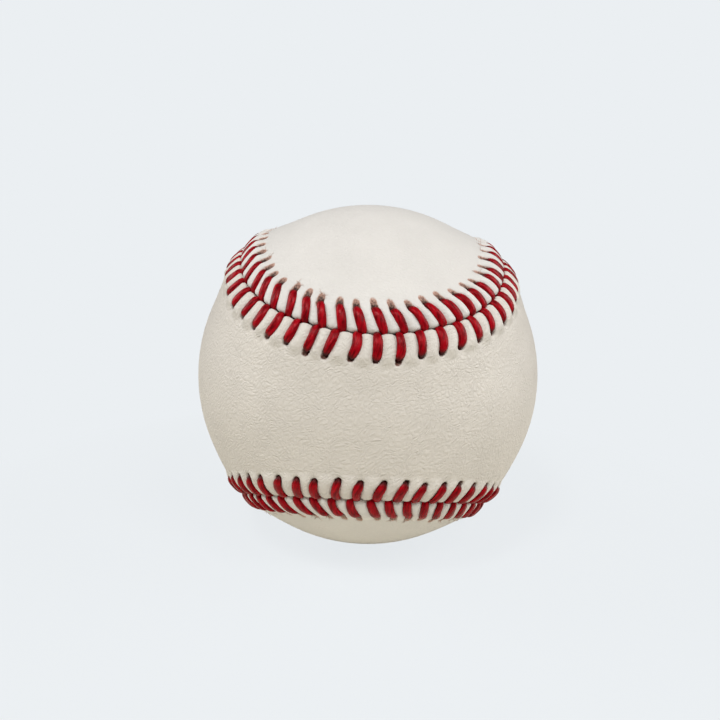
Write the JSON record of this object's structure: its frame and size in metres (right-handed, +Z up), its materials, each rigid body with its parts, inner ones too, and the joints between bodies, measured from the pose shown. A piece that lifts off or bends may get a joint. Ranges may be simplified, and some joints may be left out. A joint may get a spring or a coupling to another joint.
{
  "type": "baseball",
  "caption": "Leather-covered ball with two interlocking figure-eight cover panels, a raised seam laced with red thread, yarn windings and a cushioned cork centre",
  "frame": {"origin": "the centre of the ball", "axes": "+Z up through the lobes of one cover panel, -Y towards the front, where the other panel's neck faces, +X to the right"},
  "size_m": [0.0738, 0.0738, 0.0738],
  "materials": {
    "cork": "composition cork, fine rubber-bound grains, matte",
    "black_rubber": "moulded black rubber, matte",
    "red_rubber": "moulded red rubber, matte",
    "grey_wool": "wound grey wool yarn",
    "white_wool": "wound white wool yarn",
    "cotton_yarn": "fine white cotton finishing yarn",
    "cover_leather": "white tanned leather, fine grain, low satin sheen",
    "red_thread": "waxed red cotton lacing thread"
  },
  "bodies": {
    "root": {"cork_core": "cork", "half_shell_upper": "black_rubber", "half_shell_lower": "black_rubber", "shell_washer": "red_rubber", "cushion_shell": "red_rubber", "first_winding": "grey_wool", "second_winding": "white_wool", "third_winding": "grey_wool", "finish_winding": "cotton_yarn", "cover_panel_side": "cover_leather", "cover_panel_end": "cover_leather", "lacing_thread_leading": "red_thread", "lacing_thread_trailing": "red_thread"}
  },
  "joints": []
}
